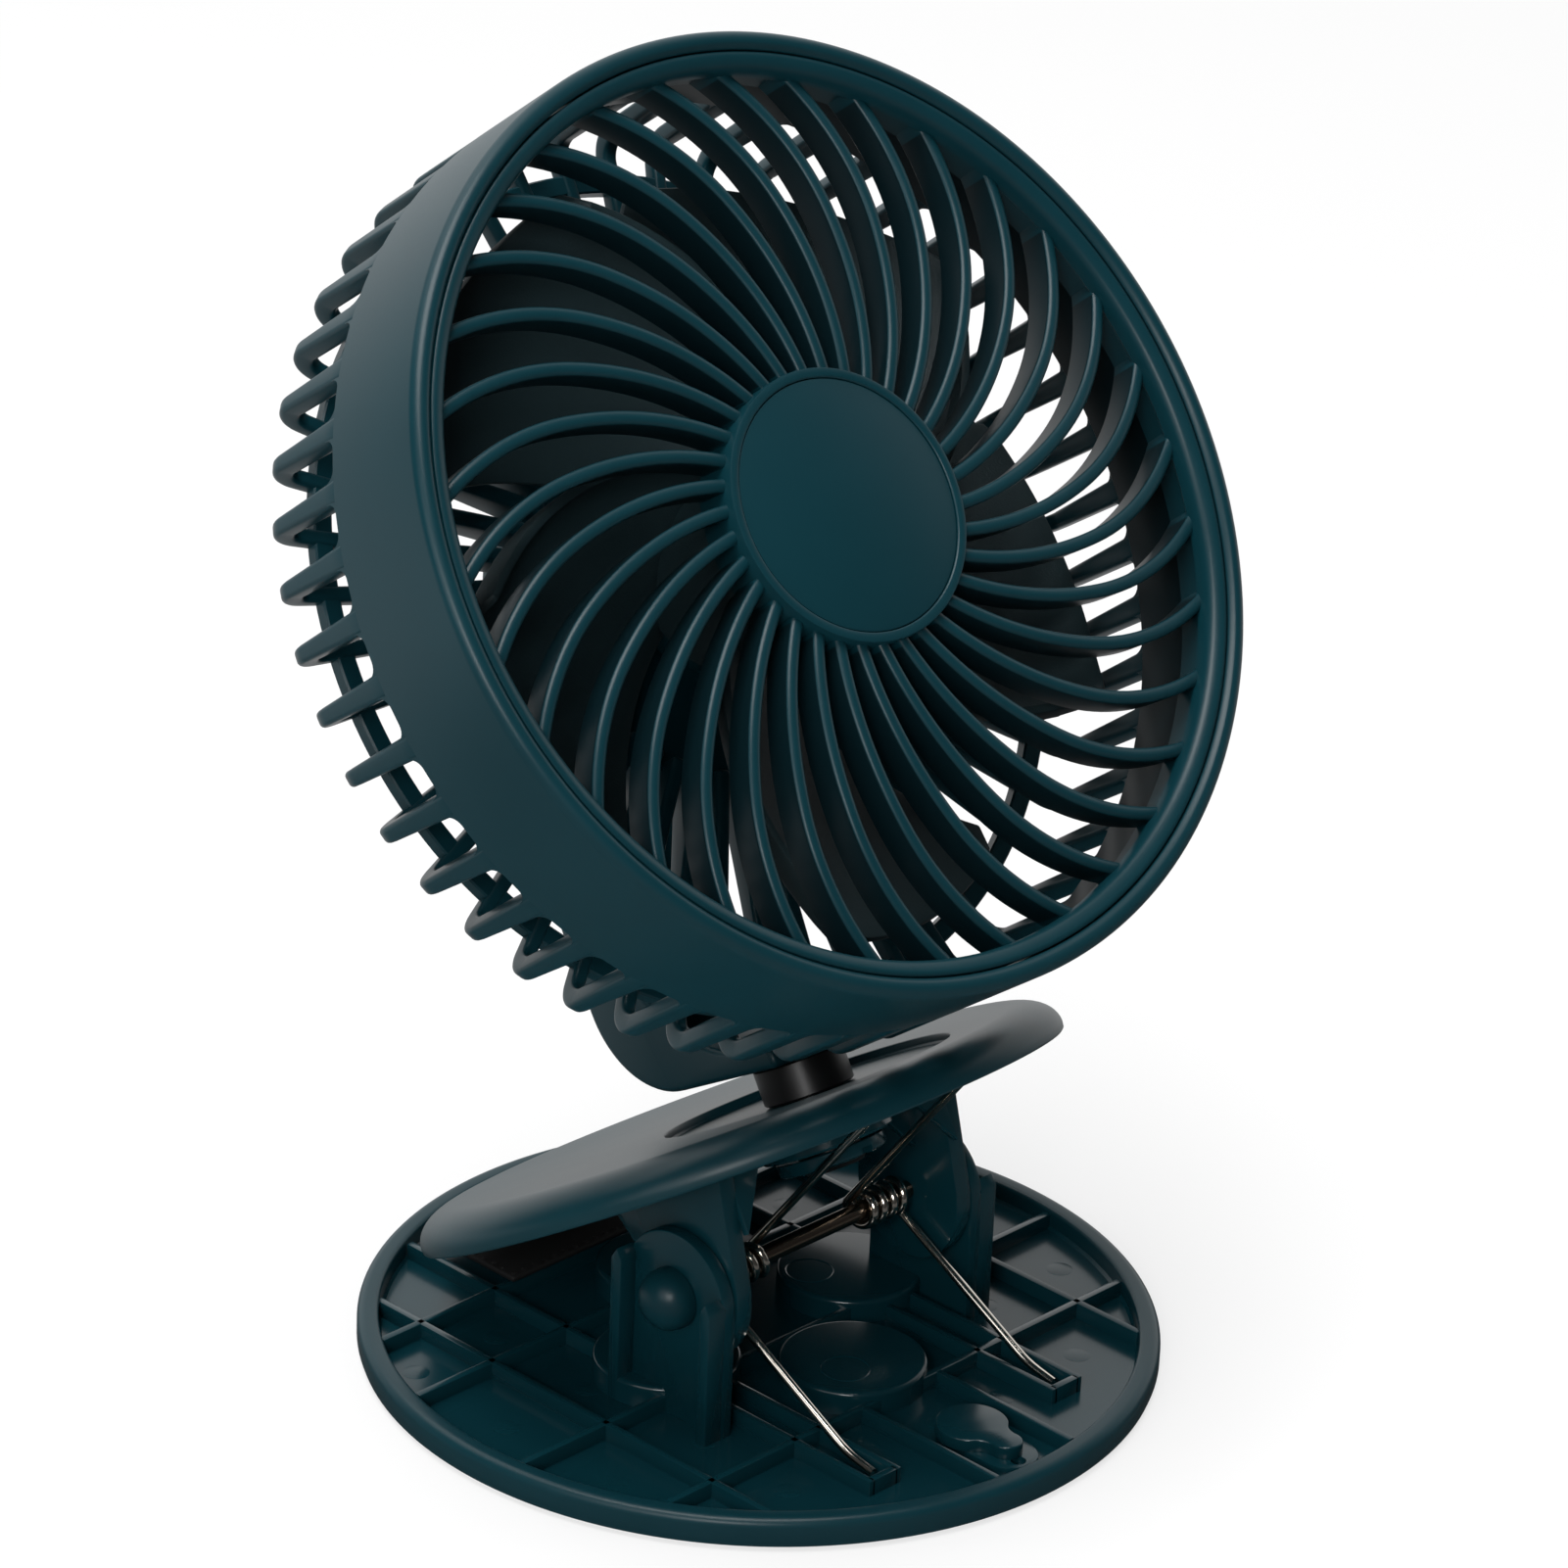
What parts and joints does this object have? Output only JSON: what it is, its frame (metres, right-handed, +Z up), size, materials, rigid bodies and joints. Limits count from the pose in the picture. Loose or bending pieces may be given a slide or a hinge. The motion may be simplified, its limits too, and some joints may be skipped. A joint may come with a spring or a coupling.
{
  "type": "clip fan",
  "caption": "Small dark teal desk fan: caged head with spiral grille on a swivelling arm over a sprung clip jaw and a round ribbed foot dish.",
  "frame": {"origin": "centre of the flat underside of the foot dish", "axes": "+Z up; the fan and the jaw's handle end face -Y, the jaw's mouth opens towards +Y; the jaw's hinge runs along X"},
  "size_m": [0.1613, 0.136, 0.2211],
  "materials": {
    "teal_plastic": "fine satin moulding, dark teal",
    "black_plastic": "satin black moulding",
    "foot_rubber": "soft black rubber",
    "pad_rubber": "matte black rubber",
    "shaft_steel": "drawn steel rod, brownish",
    "spring_wire": "bright nickel wire",
    "blade_plastic": "matte dark teal",
    "motor_steel": "plain plated steel",
    "screw_steel": "dark plated steel",
    "lens_plastic": "milky lens",
    "battery_wrap": "plain wrapped cell",
    "board": "bare green board",
    "socket_steel": "plain metal shell"
  },
  "bodies": {
    "base": {"foot_dish": "teal_plastic", "foot_pad_1": "foot_rubber", "foot_pad_2": "foot_rubber", "foot_pad_3": "foot_rubber", "foot_pad_4": "foot_rubber", "lower_grip_pad": "pad_rubber", "hinge_shaft": "shaft_steel", "pin_cap_left": "teal_plastic", "pin_cap_right": "teal_plastic", "spring_left": "spring_wire", "spring_right": "spring_wire"},
    "jaw": {"jaw_plate": "teal_plastic", "upper_grip_pad": "pad_rubber"},
    "swivel_arm": {"swivel_post": "black_plastic", "post_collar": "teal_plastic", "arm": "teal_plastic", "tilt_pin": "shaft_steel"},
    "fan_head": {"rear_shell": "teal_plastic", "front_grille": "teal_plastic", "hub_cap": "teal_plastic", "motor_can": "motor_steel", "rear_housing": "teal_plastic", "rear_cover": "teal_plastic", "cover_screw_1": "screw_steel", "cover_screw_2": "screw_steel", "cover_screw_3": "screw_steel", "cover_screw_4": "screw_steel", "indicator_lens": "lens_plastic", "battery_pack": "battery_wrap", "circuit_board": "board", "usb_socket": "socket_steel"},
    "rotor": {"impeller": "blade_plastic", "motor_shaft": "motor_steel"},
    "button": {"power_button": "black_plastic"}
  },
  "joints": [
    {"name": "jaw_hinge", "type": "hinge", "parent": "base", "child": "jaw", "pos_m": [0, -0.01, 0.024], "axis": [1, 0, 0], "range_deg": [0, 28], "stiffness_Nm_per_rad": 0.9, "springref_deg": -60.16, "deforming": ["spring_left", "spring_right"]},
    {"name": "post_swivel", "type": "hinge", "parent": "jaw", "child": "swivel_arm", "pos_m": [0, -0.0087, 0.0518], "axis": [0, 0.515, 0.8572], "range_deg": [-175, 175]},
    {"name": "head_tilt", "type": "hinge", "parent": "swivel_arm", "child": "fan_head", "pos_m": [0.00042, 0.04168, 0.11617], "axis": [0.9991, -0.0359, 0.0216], "range_deg": [-55, 5]},
    {"name": "impeller_spin", "type": "hinge", "parent": "fan_head", "child": "rotor", "pos_m": [-0.00237, -0.01219, 0.1559], "axis": [-0.0417, -0.8041, 0.593], "continuous": true},
    {"name": "button_press", "type": "slide", "parent": "fan_head", "child": "button", "axis": [-0.0417, -0.8041, 0.593], "range_m": [0, 0.0008], "stiffness_N_per_m": 900}
  ]
}
